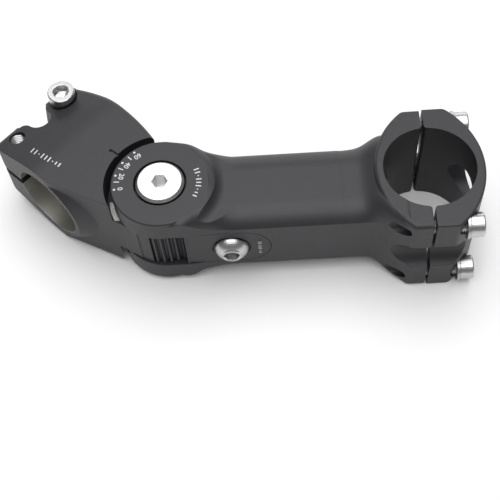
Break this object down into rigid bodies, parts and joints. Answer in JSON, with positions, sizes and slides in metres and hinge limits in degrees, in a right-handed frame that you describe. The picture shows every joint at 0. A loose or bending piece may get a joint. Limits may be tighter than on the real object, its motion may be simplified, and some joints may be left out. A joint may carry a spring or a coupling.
{
  "type": "handlebar stem",
  "caption": "Angle-adjustable bicycle handlebar stem: split steerer clamp on a toothed pivot, locking block, and a bolted handlebar clamp.",
  "frame": {"origin": "middle of the steerer clamp's bore, on its axis", "axes": "the stem lies on its side: +Z across it, parallel to the handlebar and to the pivot; +X along the extension from the pivot to the handlebar at rest; -Y the underside, where the lock block is"},
  "size_m": [0.1717, 0.0774, 0.041],
  "materials": {
    "casting": "fine satin black powder coat",
    "hardware": "bright plated steel",
    "bush": "plain bronze"
  },
  "bodies": {
    "clamp": {"steerer_clamp": "casting", "pivot_bush": "bush"},
    "extension": {"extension_body": "casting", "pivot_sleeve_nut": "hardware", "thrust_washer_upper": "hardware", "thrust_washer_lower": "hardware"},
    "pivot_bolt": {"pivot_bolt": "hardware"},
    "pinch_bolt_upper": {"pinch_bolt_upper": "hardware"},
    "pinch_bolt_lower": {"pinch_bolt_lower": "hardware"},
    "lock_block": {"lock_block": "casting"},
    "lock_bolt": {"lock_bolt": "hardware"},
    "faceplate": {"faceplate": "casting", "faceplate_washer_1": "hardware", "faceplate_washer_2": "hardware", "faceplate_washer_3": "hardware", "faceplate_washer_4": "hardware"},
    "faceplate_bolt_1": {"faceplate_bolt_1": "hardware"},
    "faceplate_bolt_2": {"faceplate_bolt_2": "hardware"},
    "faceplate_bolt_3": {"faceplate_bolt_3": "hardware"},
    "faceplate_bolt_4": {"faceplate_bolt_4": "hardware"}
  },
  "joints": [
    {"name": "pivot", "type": "hinge", "parent": "clamp", "child": "extension", "pos_m": [0.02921, -0.02056, 0], "axis": [0, 0, 1], "range_deg": [-44, 16]},
    {"name": "pivot_bolt_turn", "type": "hinge", "parent": "extension", "child": "pivot_bolt", "pos_m": [0.02921, -0.02056, 0.014], "axis": [0, 0, 1], "continuous": true},
    {"name": "pinch_upper_turn", "type": "hinge", "parent": "clamp", "child": "pinch_bolt_upper", "pos_m": [-0.00753, 0.022, 0.012], "axis": [0, 0, 1], "continuous": true},
    {"name": "pinch_lower_turn", "type": "hinge", "parent": "clamp", "child": "pinch_bolt_lower", "pos_m": [-0.0234, 0.00557, -0.012], "axis": [0, 0, -1], "continuous": true},
    {"name": "lock_block_slide", "type": "slide", "parent": "extension", "child": "lock_block", "axis": [0, -1, 0], "range_m": [0, 0.006]},
    {"name": "lock_bolt_turn", "type": "hinge", "parent": "lock_block", "child": "lock_bolt", "pos_m": [0.05241, -0.03726, 0], "axis": [0, -1, 0], "continuous": true},
    {"name": "faceplate_slide", "type": "slide", "parent": "extension", "child": "faceplate", "axis": [1, 0, 0], "range_m": [0, 0.025]},
    {"name": "faceplate_bolt_1_turn", "type": "hinge", "parent": "faceplate", "child": "faceplate_bolt_1", "pos_m": [0.13191, -0.04217, 0.0148], "axis": [1, 0, 0], "continuous": true},
    {"name": "faceplate_bolt_2_turn", "type": "hinge", "parent": "faceplate", "child": "faceplate_bolt_2", "pos_m": [0.13191, -0.04217, -0.0148], "axis": [1, 0, 0], "continuous": true},
    {"name": "faceplate_bolt_3_turn", "type": "hinge", "parent": "faceplate", "child": "faceplate_bolt_3", "pos_m": [0.13191, -0.00056, 0.0148], "axis": [1, 0, 0], "continuous": true},
    {"name": "faceplate_bolt_4_turn", "type": "hinge", "parent": "faceplate", "child": "faceplate_bolt_4", "pos_m": [0.13191, -0.00056, -0.0148], "axis": [1, 0, 0], "continuous": true}
  ]
}
